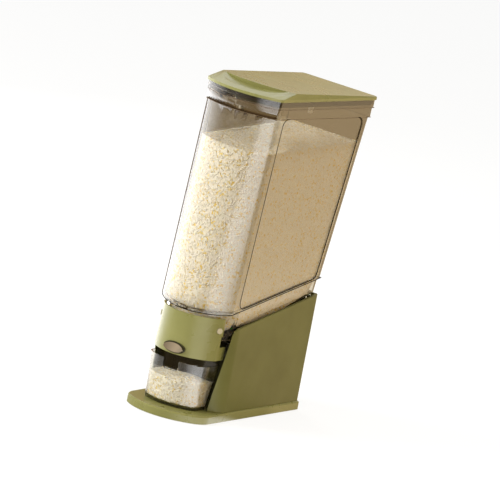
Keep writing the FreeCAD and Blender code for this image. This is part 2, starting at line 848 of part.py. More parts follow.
def lid_crown_wire(inset, drop):
    """edge of the lid's raised field, which falls towards the back"""
    back = rim_back_y + lid_overhang - lid_back_margin
    fall = math.degrees(math.atan((lid_crown - lid_back_crown) / (back - lid_crease_y)))
    wire = bowed_outline(rim_half_width + lid_overhang - lid_shoulder - inset, lid_crease_y + inset,
                         back - inset, lid_crease_bow - inset, rim_front_corner, rim_back_corner)
    wire.rotate(FreeCAD.Vector(0, lid_crease_y, 0), FreeCAD.Vector(1, 0, 0), -fall)
    wire.translate(FreeCAD.Vector(0, 0, lid_edge + lid_crown - drop))
    return wire


def scoop(grow=0.0):
    """finger recess in the lid's front: part of an ellipsoid, ended by the crease"""
    ball = Part.makeSphere(1.0)
    matrix = FreeCAD.Matrix()
    matrix.scale(scoop_half_length + grow, scoop_reach + grow, scoop_depth + grow)
    solid = ball.transformGeometry(matrix)
    rise = math.degrees(math.atan(lid_crown / (lid_crease_y - (rim_front_y - lid_overhang))))
    solid.rotate(FreeCAD.Vector(0, 0, 0), FreeCAD.Vector(1, 0, 0), rise)
    solid.translate(FreeCAD.Vector(0, lid_crease_y + scoop_setback,
                                   lid_edge + lid_crown + slope_drop(rise, scoop_setback)))
    field = bowed_outline(rim_half_width + lid_overhang, lid_crease_y - scoop_edge + grow, far / 4,
                          lid_crease_bow + scoop_edge - grow, rim_front_corner, rim_back_corner, -far / 4)
    return solid.cut(prism(field, far / 2))


def lid_cover():
    edge = prism(lid_outline(0, lid_gap), lid_edge - lid_gap)
    crown = Part.makeLoft([lid_outline(0, lid_edge), lid_crown_wire(0, 0)], True, True)
    solid = edge.fuse(crown)
    under = prism(lid_outline(lid_wall, 0), lid_edge - lid_roof)
    vault = Part.makeLoft([lid_outline(lid_wall, lid_edge - lid_roof),
                           lid_crown_wire(lid_wall, lid_roof)], True, True)
    hollow = under.fuse(vault).cut(scoop(scoop_floor))
    return tilted(solid.cut(hollow).cut(scoop()).removeSplitter())


def lid_liner():
    """flat liner with the skirt that enters the hopper's mouth"""
    plate = prism(lid_outline(lid_wall + lid_gap, lid_gap), liner_thickness)
    ring_out = rim_wall + plug_clearance
    ring = prism(rim_outline(ring_out), plug_depth + lid_gap)
    ring = ring.cut(prism(rim_outline(ring_out + plug_wall), plug_depth + lid_gap))
    ring.translate(FreeCAD.Vector(0, 0, -plug_depth))
    return tilted(plate.fuse(ring).removeSplitter())


def lid_gasket():
    """silicone ring round the liner's skirt"""
    band = prism(rim_outline(rim_wall + gasket_clearance), gasket_height)
    band = band.cut(prism(rim_outline(rim_wall + plug_clearance), gasket_height))
    band.translate(FreeCAD.Vector(0, 0, -plug_depth + gasket_lift))
    return tilted(band)


def liner_tabs():
    """two grip tabs under the liner"""
    tabs = []
    inner = rim_half_width - rim_wall - plug_clearance - plug_wall
    for side in (-1, 1):
        x0, x1 = sorted((side * inner, side * (inner - tab_thickness)))
        tab = box(x0, x1, tab_y - tab_half_width, tab_y + tab_half_width, -tab_drop, lid_gap)
        tabs.append(tab)
    return tilted(Part.makeCompound(tabs))


makers = [
    base_tray, rubber_feet, base_housing, bay_panel, hopper_pads, base_screws,
    hopper_shell, gate_seal, outlet_nozzle, nozzle_screws, gate_cover, cover_studs, button_bezel,
    gate_slide, return_springs, button_cap, button_plunger,
    lid_cover, lid_liner, lid_gasket, liner_tabs,
    measuring_cup,
]

os.makedirs("parts", exist_ok=True)
for maker in makers:
    shape = maker()
    name = maker.__name__
    solids = len(shape.Solids)
    print(name, "valid", shape.isValid(), "solids", solids, "volume", round(shape.Volume))
    shape.exportStep("parts/" + name + ".step")
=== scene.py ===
# %% [markdown]
# A leaning rice bin, dressed for its picture. The solids come from the imported frame, in metres,
# with +Z up and the front towards -Y. Here they get soft edges and finishes, a few of which carry
# painted shade, glint or reflection in their colour, and the rice goes in, because rice is
# contents and no part of the bin.

# %% Load the frame
import json
import math
import bmesh
import bpy
from mathutils import Matrix, Vector


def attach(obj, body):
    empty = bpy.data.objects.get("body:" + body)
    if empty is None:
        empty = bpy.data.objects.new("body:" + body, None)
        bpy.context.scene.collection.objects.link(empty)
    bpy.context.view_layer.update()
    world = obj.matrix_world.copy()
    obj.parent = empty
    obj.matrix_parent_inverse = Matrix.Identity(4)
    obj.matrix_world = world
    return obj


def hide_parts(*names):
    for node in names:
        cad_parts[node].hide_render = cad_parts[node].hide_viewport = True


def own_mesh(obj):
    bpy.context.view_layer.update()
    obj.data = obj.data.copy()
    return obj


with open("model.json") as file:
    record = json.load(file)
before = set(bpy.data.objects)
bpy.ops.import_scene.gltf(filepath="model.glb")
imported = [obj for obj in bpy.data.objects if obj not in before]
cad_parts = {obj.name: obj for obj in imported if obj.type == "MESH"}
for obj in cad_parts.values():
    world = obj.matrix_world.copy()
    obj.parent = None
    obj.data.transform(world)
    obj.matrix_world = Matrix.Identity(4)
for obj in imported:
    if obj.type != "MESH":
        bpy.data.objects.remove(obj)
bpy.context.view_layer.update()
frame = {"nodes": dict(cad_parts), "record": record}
body_of_node = {node: body for body, nodes in frame["record"]["behaviour"]["bodies"].items()
                for node in nodes}
mm = 0.001

# %% [markdown]
# Materials. Each starts from what the real one is and how its surface was made, and a few also
# carry painted shade, glint or reflection in their colour. Colours are written as sRGB hex, as a
# colour card gives them, and one function turns them to the linear values that the shader works
# in. One small function adds a node with its settings and links, so that each material reads as
# a short list of what it is made of.

# %% Colour and node helpers
def linear(hex_colour):
    channels = [int(hex_colour[i:i + 2], 16) / 255 for i in (0, 2, 4)]
    return [c / 12.92 if c <= 0.04045 else ((c + 0.055) / 1.055) ** 2.4 for c in channels] + [1.0]


def add_node(tree, kind, settings=None, inputs=None):
    """one node; inputs are values or sockets of other nodes, by name or number"""
    node = tree.nodes.new(kind)
    for name, value in (settings or {}).items():
        setattr(node, name, value)
    for name, value in (inputs or {}).items():
        if isinstance(value, bpy.types.NodeSocket):
            tree.links.new(value, node.inputs[name])
        else:
            node.inputs[name].default_value = value
    return node


def new_material(name):
    material = bpy.data.materials.new(name)
    material.use_nodes = True
    material.node_tree.nodes.clear()
    return material, material.node_tree


def ramp_colours(ramp, stops):
    """sets a colour ramp's stops: place, hex colour and, for a light, its strength"""
    elements = ramp.color_ramp.elements
    while len(elements) < len(stops):
        elements.new(0.5)
    for element, (place, colour, *strength) in zip(elements, stops):
        element.position = place
        element.color = [c * (strength or [1.0])[0] for c in linear(colour)[:3]] + [1.0]


def put_in_scene(name, data):
    """a new object at the origin, unscaled"""
    thing = bpy.data.objects.new(name, data)
    bpy.context.scene.collection.objects.link(thing)
    return thing


print("ABS green, linear", [round(c, 3) for c in linear("7E7C46")])

# %% [markdown]
# Moulded ABS. The mould was spark eroded, which leaves a fine even grain that spreads the
# highlights. The grain on the real part is about 0.1 mm and too fine to show, so it is drawn at
# 2.6 mm. A slow, faint change of tone stands for flow of the melt, and a little gloss change
# for handling. Rubber and silicone are moulded the same way, with their own colour, gloss and
# grain. The darker sage and olive copies, the pale stud and the dark and brown lines on the clear
# plastic's edges are made the same way, but their colours are painted shade and painted glint.

# %% Moulded plastics
flow_mm, rub_mm = 55, 18
gloss_change = 0.05


def moulded_plastic(name, colours, roughness, grain_mm, depth_mm, shine):
    """colours are the middle, the pale and the dark tone"""
    colour, pale, dark = colours
    material, tree = new_material(name)
    place = add_node(tree, "ShaderNodeTexCoord").outputs["Object"]
    flow = add_node(tree, "ShaderNodeTexNoise", {}, {
        "Vector": place, "Scale": 1 / (flow_mm * mm), "Detail": 3.0})
    tone = add_node(tree, "ShaderNodeValToRGB", {}, {"Fac": flow.outputs["Fac"]})
    ramp_colours(tone, [(0.3, dark), (0.5, colour), (0.7, pale)])
    grain = add_node(tree, "ShaderNodeTexNoise", {}, {
        "Vector": place, "Scale": 1 / (grain_mm * mm), "Detail": 1.0})
    bump = add_node(tree, "ShaderNodeBump", {}, {
        "Height": grain.outputs["Fac"], "Strength": 0.1, "Distance": depth_mm * mm})
    rub = add_node(tree, "ShaderNodeTexNoise", {}, {
        "Vector": place, "Scale": 1 / (rub_mm * mm), "Detail": 4.0})
    gloss = add_node(tree, "ShaderNodeMapRange", {}, {
        "Value": rub.outputs["Fac"], "From Min": 0.3, "From Max": 0.7,
        "To Min": roughness - gloss_change, "To Max": roughness + gloss_change})
    shader = add_node(tree, "ShaderNodeBsdfPrincipled", {}, {
        "Base Color": tone.outputs["Color"], "Roughness": gloss.outputs["Result"],
        "Normal": bump.outputs["Normal"], "IOR": 1.53, "Specular IOR Level": shine})
    add_node(tree, "ShaderNodeOutputMaterial", {}, {"Surface": shader.outputs["BSDF"]})
    return material


# each line: name, three tones, roughness, grain size and depth in mm, shine
sage_abs = moulded_plastic(
    "sage green ABS, fine eroded grain", ("7E7C46", "83814B", "797742"), 0.30, 2.6, 0.01, 0.42)
# A darker copy of the same sage ABS for the housing: painted shade for its sides turned away from the key
# lamp.
housing_sage_painted_shade = moulded_plastic(
    "sage green ABS, darkened as painted shade on the housing", ("636233", "686737", "5E5D2F"), 0.34, 2.6, 0.01, 0.2)
# A dark olive copy of the sage plastic for the lid liner and the button's bezel: painted shade of the
# recess under the lid's edge and of the gap around the button.
olive_painted_shade = moulded_plastic(
    "olive ABS, darkened as painted shade in gaps", ("33311B", "38361F", "2D2B17"), 0.36, 2.6, 0.01, 0.4)
# A dark copy of the sage plastic for the bay panel, nozzle, slide and plunger: painted shade, as they are
# the same sage plastic lying in the bay's shade.
inner_sage_painted_shade = moulded_plastic(
    "sage ABS, darkened as painted shade inside the bay", ("3F3D27", "44422B", "393722"), 0.42, 2.6, 0.01, 0.3)
# The clear studs are drawn pale and opaque: painted glint.
stud_painted_glint = moulded_plastic(
    "clear SAN stud, pale as painted glint", ("BDB498", "C4BBA0", "B3AA8D"), 0.25, 0.8, 0.0, 0.8)
natural_pp = moulded_plastic(
    "natural white polypropylene", ("E9E6DC", "F0EDE4", "E0DCD0"), 0.4, 0.8, 0.03, 0.4)
silicone = moulded_plastic(
    "brown silicone, soft moulded", ("2A2318", "30281C", "241E15"), 0.45, 0.8, 0.03, 0.4)
foot_rubber = moulded_plastic(
    "black rubber, matt moulded", ("1D1C1A", "232220", "171614"), 0.75, 0.9, 0.08, 0.3)
moulded = (sage_abs, housing_sage_painted_shade, olive_painted_shade, inner_sage_painted_shade, stud_painted_glint, natural_pp, silicone, foot_rubber)
print("moulded plastics", [material.name for material in moulded])

# %% [markdown]
# Clear plastic. The hopper and the cup are moulded SAN with polished walls and a light smoky
# tint. Real SAN bends light by 1.57, but there the stepped rim breaks into ragged images. So the
# wall bends light less, and a coat with the real value carries its mirror. Where a wall is seen
# at a slant, the way through it is long, so its tint deepens, and the near-black brown at the
# steepest slant is painted shade for the dark edge that a bending wall shows. Lamps can't find
# their way through a refracting wall in few samples, so it is see-through to shadow rays, almost
# without tint. A faint large ripple stands for uneven cooling.

# %% Clear SAN
san_ior = 1.57
ripple_length_mm, ripple_depth_mm = 70, 0.05
# The brown at a steep slant partly deepens the tint and, darker still, is painted shade of the wall's
# dark edge.
slant_tint_and_painted_shade = ((0.66, "A08868"), (0.8, "3A2C1E"))


def clear_plastic(name, tint, shadow_tint, roughness, bend):
    material, tree = new_material(name)
    place = add_node(tree, "ShaderNodeTexCoord").outputs["Object"]
    ripple = add_node(tree, "ShaderNodeTexNoise", {}, {
        "Vector": place, "Scale": 1 / (ripple_length_mm * mm), "Detail": 1.0})
    bump = add_node(tree, "ShaderNodeBump", {}, {
        "Height": ripple.outputs["Fac"], "Strength": 0.25, "Distance": ripple_depth_mm * mm})
    slant = add_node(tree, "ShaderNodeLayerWeight", {}, {"Blend": 0.5})
    slant_tint_and_shade = add_node(tree, "ShaderNodeValToRGB", {}, {"Fac": slant.outputs["Facing"]})
    ramp_colours(slant_tint_and_shade, [(0.0, tint), (0.53, tint), *slant_tint_and_painted_shade])
    wall_face = add_node(tree, "ShaderNodeBsdfPrincipled", {}, {
        "Base Color": slant_tint_and_shade.outputs["Color"], "Roughness": roughness, "IOR": bend,
        "Transmission Weight": 1.0, "Normal": bump.outputs["Normal"], "Coat Weight": 1.0,
        "Coat Roughness": 0.07, "Coat IOR": san_ior})
    open_way = add_node(tree, "ShaderNodeBsdfTransparent", {}, {"Color": linear(shadow_tint)})
    ray = add_node(tree, "ShaderNodeLightPath")
    mix = add_node(tree, "ShaderNodeMixShader", {}, {
        0: ray.outputs["Is Shadow Ray"], 1: wall_face.outputs["BSDF"], 2: open_way.outputs["BSDF"]})
    add_node(tree, "ShaderNodeOutputMaterial", {}, {"Surface": mix.outputs["Shader"]})
    return material


# each line: name, tint, tint for shadow rays, roughness, how much the wall bends light
hopper_san = clear_plastic("smoky clear SAN, polished", "FAF6EC", "FFFEFC", 0.015, 1.2)
cup_san = clear_plastic("clear SAN, polished cup", "F4F1E8", "FDFCF8", 0.02, 1.3)
print("clear plastics", hopper_san.name, "and", cup_san.name)

# %% [markdown]
# Metals. The button's cap is a plated moulding, polished and then lightly satined, so its dish
# mirrors softly; its warm tone is painted reflection of the tan surroundings in its dish. The
# screws and springs are zinc plated steel. A metal keeps the shader's own IOR.

# %% Plated metal
def plated_metal(name, colour, roughness, grain_mm):
    material, tree = new_material(name)
    place = add_node(tree, "ShaderNodeTexCoord").outputs["Object"]
    satin = add_node(tree, "ShaderNodeTexNoise", {}, {
        "Vector": place, "Scale": 1 / (grain_mm * mm), "Detail": 2.0})
    gloss = add_node(tree, "ShaderNodeMapRange", {}, {
        "Value": satin.outputs["Fac"], "To Min": roughness * 0.7, "To Max": roughness * 1.3})
    shader = add_node(tree, "ShaderNodeBsdfPrincipled", {}, {
        "Base Color": linear(colour), "Metallic": 1.0, "Roughness": gloss.outputs["Result"]})
    add_node(tree, "ShaderNodeOutputMaterial", {}, {"Surface": shader.outputs["BSDF"]})
    return material


plate_with_painted_reflection = plated_metal("plated cap, warm as painted reflection, satin polished", "D2C2A8", 0.2, 2.4)
zinc_steel = plated_metal("zinc plated steel", "B9BABD", 0.32, 0.8)
print("metals", plate_with_painted_reflection.name, "and", zinc_steel.name)

# %% [markdown]
# Rice. A polished grain is cream with a waxy look, and light goes a short way into it. Every
# grain gets its own tone from a stored random number, so a few are yellow. The bed under the
# loose grains has the same colours in small cells.

# %% Polished rice
bed_cell_mm = 2.4
rice_tones = [(0.0, "F0D264"), (0.09, "F5E19C"), (0.14, "FAF5E6"), (1.0, "FFFDF6")]


def rice_finish(name, from_grains):
    material, tree = new_material(name)
    if from_grains:
        tone = add_node(tree, "ShaderNodeAttribute", {"attribute_name": "grain_tone"}).outputs["Fac"]
    else:
        place = add_node(tree, "ShaderNodeTexCoord").outputs["Object"]
        cells = add_node(tree, "ShaderNodeTexVoronoi", {}, {
            "Vector": place, "Scale": 1 / (bed_cell_mm * mm)})
        tone = add_node(tree, "ShaderNodeSeparateColor", {}, {"Color": cells.outputs["Color"]}).outputs[0]
    colours = add_node(tree, "ShaderNodeValToRGB", {}, {"Fac": tone})
    ramp_colours(colours, rice_tones)
    shader = add_node(tree, "ShaderNodeBsdfPrincipled", {}, {
        "Base Color": colours.outputs["Color"], "Roughness": 0.42, "IOR": 1.45,
        "Subsurface Weight": 0.08, "Subsurface Radius": (1.0, 0.8, 0.5), "Subsurface Scale": 0.8 * mm})
    add_node(tree, "ShaderNodeOutputMaterial", {}, {"Surface": shader.outputs["BSDF"]})
    return material


rice_grain = rice_finish("polished rice, loose grains", True)
rice_bed = rice_finish("polished rice, packed bed", False)
print("rice", rice_grain.name, "and", rice_bed.name)

# %% [markdown]
# Dressing the solids. A solid's mesh is loose triangles with knife edges. A moulded part has
# small radii that catch the light, so a copy is merged, its flat fields are made whole faces,
# and its edges get a fine bevel. The copy rides on the same body and stands for the solid.
# Pieces that hardly show stay as they are and only get their material.

# %% Soft-edged copies
soft_edge_degrees = 28.0
flat_field_degrees = 0.6
merge_distance_mm = 0.002


def soften_solid(node, material, radius_mm):
    """a merged copy of the solid with its edges rounded"""
    mesh = bpy.data.meshes.new(node + "_soft")
    work = bmesh.new()
    work.from_mesh(frame["nodes"][node].data)
    bmesh.ops.remove_doubles(work, verts=work.verts, dist=merge_distance_mm * mm)
    bmesh.ops.dissolve_limit(work, angle_limit=math.radians(flat_field_degrees),
                             verts=work.verts, edges=work.edges)
    work.to_mesh(mesh)
    work.free()
    for polygon in mesh.polygons:
        polygon.use_smooth = True
    mesh.set_sharp_from_angle(angle=math.radians(soft_edge_degrees))
    mesh.materials.clear()
    mesh.materials.append(material)
    piece = put_in_scene(node + "_soft", mesh)
    if radius_mm > 0:
        bevel = piece.modifiers.new("soft edges", "BEVEL")
        bevel.width = radius_mm * mm
        bevel.segments = 2
        bevel.limit_method = "ANGLE"
        bevel.angle_limit = math.radians(soft_edge_degrees)
        bevel.harden_normals = False
        bevel.miter_outer = "MITER_ARC"
    even = piece.modifiers.new("even shading", "WEIGHTED_NORMAL")
    even.keep_sharp = True
    even.weight = 80
    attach(piece, body_of_node[node])
    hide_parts(node)
    return piece


# %% Dress the pieces
# The housing's darker sage and the olive of the liner and bezel are painted shade; the cap's warm tone is
# painted reflection.
softened = {
    "base_tray": (sage_abs, 0.0),
    "base_housing": (housing_sage_painted_shade, 0.5),
    "gate_cover": (sage_abs, 0.35),
    "lid_cover": (sage_abs, 0.4),
    "hopper_shell": (hopper_san, 0.0),
    "measuring_cup": (cup_san, 0.0),
    "lid_liner": (olive_painted_shade, 0.0),
    "lid_gasket": (silicone, 0.0),
    "button_cap": (plate_with_painted_reflection, 0.25),
    "button_bezel": (olive_painted_shade, 0.25),
}
for node, (material, radius_mm) in softened.items():
    print(node, "faces", len(soften_solid(node, material, radius_mm).data.polygons))

# The parts inside the bay take the darkened sage copy, which paints their shade.
kept = {
    "rubber_feet": foot_rubber, "bay_panel": inner_sage_painted_shade, "hopper_pads": foot_rubber,
    "base_screws": zinc_steel, "gate_seal": silicone, "outlet_nozzle": inner_sage_painted_shade,
    "nozzle_screws": zinc_steel, "cover_studs": stud_painted_glint, "gate_slide": inner_sage_painted_shade,
    "button_plunger": inner_sage_painted_shade, "liner_tabs": natural_pp,
}
for node, material in kept.items():
    for slot in frame["nodes"][node].material_slots:
        slot.material = material
print("dressed", len(softened), "kept", len(kept))

# %% [markdown]
# The return springs. The button pushes the gate back, and the two coils close by that way.
# Here a merged copy of the coils gets a mesh of its own.

# %% A copy of the springs
coils = soften_solid("return_springs", zinc_steel, 0.0)
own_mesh(coils)

# %% [markdown]
# The hopper's own rules. The rice lies against the hopper's walls and the painted shade lines lie
# on them, so both are drawn from the sizes that made the hopper: a plan with a bowed front, a side,
# front and back that lean by their own angles, a step that climbs to the back, a skirt that is
# drawn in under it, sloping funnel floors, and a rim that falls to the back with the lid.

# %% Hopper sizes, in millimetres
plan_level, half_width, corner_radius = 119.0, 50.4, 9.5
plan_corner_y, plan_back_y = -89.4, 86.8
front_bow, bow_loss, bow_loss_height = 24.5, 7.3, 269.3
side_lean, front_lean, back_lean = (math.tan(math.radians(a)) for a in (0.31, 4.8, 11.1))
skirt_insets = 1.2, 9.5, 3.4
wall = 2.2
rice_clearance = 1.5
step_height, step_rise = 146.6, math.tan(math.radians(9.3))
lid_plane, lid_tilt = 388.3, math.radians(-3.83)
ledge_drops = {"high": 9.6, "low": 21.6}
rim = {"half_width": 53.0, "front_radius": 83.0, "front_y": -90.4, "back_y": 139.9, "corner": 4.8}
panel = {"half_width": 50.1, "front_y": -77.4, "back_y": 74.8, "over_step": 2.0, "top_run": 12.0}
throat = {"half_width": 18.0, "front_y": -96.0, "back_y": -85.0, "z": 90.0}
ramps = {"floor": math.tan(math.radians(17.5)), "side": math.tan(math.radians(40.0)), "front": 1.0}
plan_steps, corner_steps = 14, 4
print("hopper width at its plan level", 2 * half_width, "mm")


# %% Plans of the hopper
def bowed_plan(half, corner_y, bow, back_y, corner, count):
    """closed plan with a bowed front, round front corners and a flat back"""
    radius = (half ** 2 + bow ** 2) / (2 * bow)
    centre_y = corner_y - bow + radius
    reach_x = half - corner
    front_c = centre_y - math.sqrt((radius - corner) ** 2 - reach_x ** 2)
    turn = math.atan2(reach_x, centre_y - front_c)
    points = [(radius * math.sin(a), centre_y - radius * math.cos(a))
              for a in [turn * k / count for k in range(-count, count + 1)]]
    quarter = math.pi / 2 - turn
    right = [(reach_x + corner * math.sin(a), front_c - corner * math.cos(a))
             for a in [turn + quarter * k / corner_steps for k in range(1, corner_steps + 1)]]
    side = [(half, front_c + (back_y - front_c) * k / count) for k in range(1, count)]
    back = [(half - 2 * half * k / count, back_y) for k in range(0, count + 1)]
    left = [(-x, y) for x, y in reversed(right + side)]
    return points + right + side + back + left


def hopper_plan(z, in_skirt, inset=wall + rice_clearance):
    """plan of the hopper at a height, drawn in by the wall and the rice's clearance"""
    rise = z - plan_level
    side, front, back = (inset + (more if in_skirt else 0.0) for more in skirt_insets)
    bow = front_bow - bow_loss * rise / bow_loss_height
    half = half_width + side_lean * rise
    radius = (half ** 2 + bow ** 2) / (2 * bow) - front
    bow_in = radius - math.sqrt(radius ** 2 - (half - side) ** 2)
    front_y = plan_corner_y + front_lean * rise - bow + front
    return bowed_plan(half - side, front_y + bow_in, bow_in,
                      plan_back_y + back_lean * rise - back, corner_radius - side, plan_steps)


def wall_point(index, level, slope):
    """point of the outer plan on a plane that climbs with y, found in a few turns"""
    x, y = hopper_plan(level, False, 0.0)[index]
    for _ in range(4):
        x, y = hopper_plan(level + slope * y, False, 0.0)[index]
    return x, y, level + slope * y


print("plan points", len(hopper_plan(step_height, False)))

# %% [markdown]
# Edge lines of the hopper. Where a clear wall turns sharply, as at the pressed panel's edge, the
# foot of the body, the two ledges of the rim and the far front corner, it bends the light away
# and shows as a thin dark line. A renderer needs very fine rounded edges to find it, so the line
# is painted: a fine dark bead lies on each edge as painted shade. Geometry Nodes sweep a small
# ring along its path.

# %% Painted shade bead along an edge
def bead_tree():
    tree = bpy.data.node_groups.new("bead along an edge", "GeometryNodeTree")
    for name, kind, way in (("Geometry", "NodeSocketGeometry", "INPUT"),
                            ("Bead Radius", "NodeSocketFloat", "INPUT"),
                            ("Corner Radius", "NodeSocketFloat", "INPUT"),
                            ("Material", "NodeSocketMaterial", "INPUT"),
                            ("Geometry", "NodeSocketGeometry", "OUTPUT")):
        tree.interface.new_socket(name, in_out=way, socket_type=kind)
    given = add_node(tree, "NodeGroupInput").outputs
    path = add_node(tree, "GeometryNodeMeshToCurve", {}, {"Mesh": given["Geometry"]})
    turned = add_node(tree, "GeometryNodeFilletCurve", {"mode": "POLY"}, {
        "Curve": path.outputs["Curve"], "Radius": given["Corner Radius"], "Count": 8,
        "Limit Radius": True})
    ring = add_node(tree, "GeometryNodeCurvePrimitiveCircle", {}, {
        "Resolution": 6, "Radius": given["Bead Radius"]})
    bead = add_node(tree, "GeometryNodeCurveToMesh", {}, {
        "Curve": turned.outputs["Curve"], "Profile Curve": ring.outputs["Curve"]})
    whole = add_node(tree, "GeometryNodeRealizeInstances", {}, {"Geometry": bead.outputs["Mesh"]})
    dressed = add_node(tree, "GeometryNodeSetMaterial", {}, {
        "Geometry": whole.outputs["Geometry"], "Material": given["Material"]})
    add_node(tree, "NodeGroupOutput", {}, {"Geometry": dressed.outputs["Geometry"]})
    return tree


edge_tree = bead_tree()
# The beads' dark and brown colours are painted shade: the dark line that a sharply turning clear wall
# shows where it bends light away.
dark_painted_shade_line = moulded_plastic(
    "dark painted shade line on clear SAN", ("1A130D", "201811", "140E09"), 0.6, 0.8, 0.0, 0.1)
brown_painted_shade_line = moulded_plastic(
    "brown painted shade line on clear SAN", ("6A573F", "725F47", "614F38"), 0.5, 0.8, 0.0, 0.2)


def grown(name, mesh, tree, sizes, body):
    """runs a node tree on a mesh once and keeps the result as a plain mesh"""
    carrier = put_in_scene(name + "_carrier", mesh)
    modifier = carrier.modifiers.new("tree", "NODES")
    modifier.node_group = tree
    for item in tree.interface.items_tree:
        if item.in_out == "INPUT" and item.name in sizes:
            modifier[item.identifier] = sizes[item.name]
    ready = carrier.evaluated_get(bpy.context.evaluated_depsgraph_get())
    result = bpy.data.meshes.new_from_object(ready)
    carrier.modifiers.clear()
    bpy.data.objects.remove(carrier)
    result.name = name
    piece = put_in_scene(name, result)
    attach(piece, body)
    print(name, "triangles", sum(len(p.vertices) - 2 for p in result.polygons))
    return piece


def edge_bead(name, points, closed, radius_mm, corner_mm, material):
    """dark bead through points, in millimetres, on the hopper, as a painted shade line"""
    path = bpy.data.meshes.new(name + "_path")
    count = len(points)
    steps = count if closed else count - 1
    path.from_pydata([Vector(p) * mm for p in points], [(k, (k + 1) % count) for k in range(steps)], [])
    return grown(name, path, edge_tree, {
        "Bead Radius": radius_mm * mm, "Corner Radius": corner_mm * mm, "Material": material}, "hopper")


# %% Paths of the painted shade lines
body_top = lid_plane - ledge_drops["low"], math.tan(lid_tilt)


def panel_path(side):
    """front, foot and back edge of the pressed panel on one side of the hopper"""
    corners = []
    for foot_y, lean in ((panel["front_y"], front_lean), (panel["back_y"], back_lean)):
        for level, slope in ((step_height + panel["over_step"], step_rise), body_top):
            y = (foot_y + lean * (level - plan_level)) / (1 - lean * slope)
            z = level + slope * y
            corners.append((side * (panel["half_width"] + side_lean * (z - plan_level)), y, z))
    low_front, high_front, low_back, high_back = (Vector(c) for c in corners)
    along_top = (high_back - high_front).normalized() * panel["top_run"]
    return [high_front + along_top, high_front, low_front, low_back, high_back, high_back - along_top]


def rim_path(drop, inset):
    """outline of the rim at a depth under the lid's plane"""
    half, radius = rim["half_width"] - inset, rim["front_radius"] - inset
    bow = radius - math.sqrt(radius ** 2 - half ** 2)
    plan = bowed_plan(half, rim["front_y"] + inset + bow, bow, rim["back_y"] - inset, rim["corner"],
                      plan_steps)
    across, down = math.cos(lid_tilt), math.sin(lid_tilt)
    return [(x, y * across + drop * down, lid_plane + y * down - drop * across) for x, y in plan]


def step_path():
    """outer outline of the body's foot, on the sloping step"""
    return [wall_point(index, step_height, step_rise)
            for index in range(len(hopper_plan(step_height, False, 0.0)))]


def left_corner_path(outward_mm=0.5, inward_y=23.8):
    """left front corner of the body, from the step to the lower ledge, a little off the wall"""
    middle_of_corner = -corner_steps // 2
    points = []
    for level, slope in ((step_height, step_rise), body_top):
        x, y, z = wall_point(middle_of_corner, level, slope)
        outward = Vector((x, y - inward_y)).normalized() * outward_mm
        points.append((x + outward.x, y + outward.y, z))
    return points


# %% Lay the painted shade beads
# each line: name, path, closed, bead radius and fillet in mm, material
edge_bead("panel_edge_right", panel_path(1), False, 0.6, 9.0, dark_painted_shade_line)
edge_bead("panel_edge_left", panel_path(-1), False, 0.6, 9.0, dark_painted_shade_line)
edge_bead("step_edge", step_path(), True, 0.5, 0.0, dark_painted_shade_line)
edge_bead("rim_ledge_high", rim_path(ledge_drops["high"], 0.5), True, 0.45, 0.0, brown_painted_shade_line)
edge_bead("rim_ledge_low", rim_path(ledge_drops["low"], 1.4), True, 0.3, 0.0, brown_painted_shade_line)
edge_bead("corner_edge_left", left_corner_path(), False, 0.6, 0.0, brown_painted_shade_line)

# %% [markdown]
# The rice in the hopper. Rings of points are stacked from the throat to the top of the rice,
# inside the walls and over the funnel's floors, on planes that tip with the step and come level
# at the top. The top itself is closed with ever smaller rings that roll a little, as poured
# rice does.

# %% Rings of rice
def ring_at(height, slope, in_skirt):
    """one ring on a plane that climbs with y, kept over the funnel's floors"""
    ring = []
    for index, (x, y) in enumerate(hopper_plan(height, in_skirt)):
        for _ in range(3):
            z = height + slope * y
            x, y = hopper_plan(z, in_skirt)[index]
        over = max(z - throat["z"] - rice_clearance, 0.5)
        x_most = throat["half_width"] - rice_clearance + over / ramps["side"]
        y_back = throat["back_y"] - rice_clearance + over / ramps["floor"]
        y_front = throat["front_y"] + rice_clearance - over / ramps["front"]
        ring.append((max(-x_most, min(x_most, x)), max(y_front, min(y_back, y)), z))
    return ring


def skin_of_rings(name, rings, material, roll, top_rings=18):
    """closed mesh through rings, bottom first, whose top rolls a little"""
    centre = [sum(p[k] for p in rings[-1]) / len(rings[-1]) for k in range(3)]
    for step in range(1, top_rings):
        share = 1 - step / top_rings
        ring = []
        for x, y, z in rings[len(rings) - step]:
            px = centre[0] + (x - centre[0]) * share / (1 - (step - 1) / top_rings)
            py = centre[1] + (y - centre[1]) * share / (1 - (step - 1) / top_rings)
            ring.append((px, py, centre[2] + roll(px, py) * (1 - share) ** 0.4))
        rings.append(ring)
    work = bmesh.new()
    layers = [[work.verts.new(Vector(p) * mm) for p in ring] for ring in rings]
    for low, high in zip(layers, layers[1:]):
        for k in range(len(low)):
            n = (k + 1) % len(low)
            work.faces.new((low[k], low[n], high[n], high[k]))
    work.faces.new(list(reversed(layers[0])))
    work.faces.new(layers[-1])
    bmesh.ops.remove_doubles(work, verts=work.verts, dist=0.01 * mm)
    bmesh.ops.dissolve_degenerate(work, edges=work.edges, dist=0.01 * mm)
    bmesh.ops.recalc_face_normals(work, faces=work.faces)
    mesh = bpy.data.meshes.new(name)
    work.to_mesh(mesh)
    work.free()
    for polygon in mesh.polygons:
        polygon.use_smooth = True
    mesh.materials.append(material)
    return put_in_scene(name, mesh)


def poured_roll(x, y):
    """gentle hills on top of poured rice"""
    return 1.6 * math.sin(x / 23 + 0.8) * math.cos(y / 31) + 0.9 * math.sin(y / 13 + x / 17)


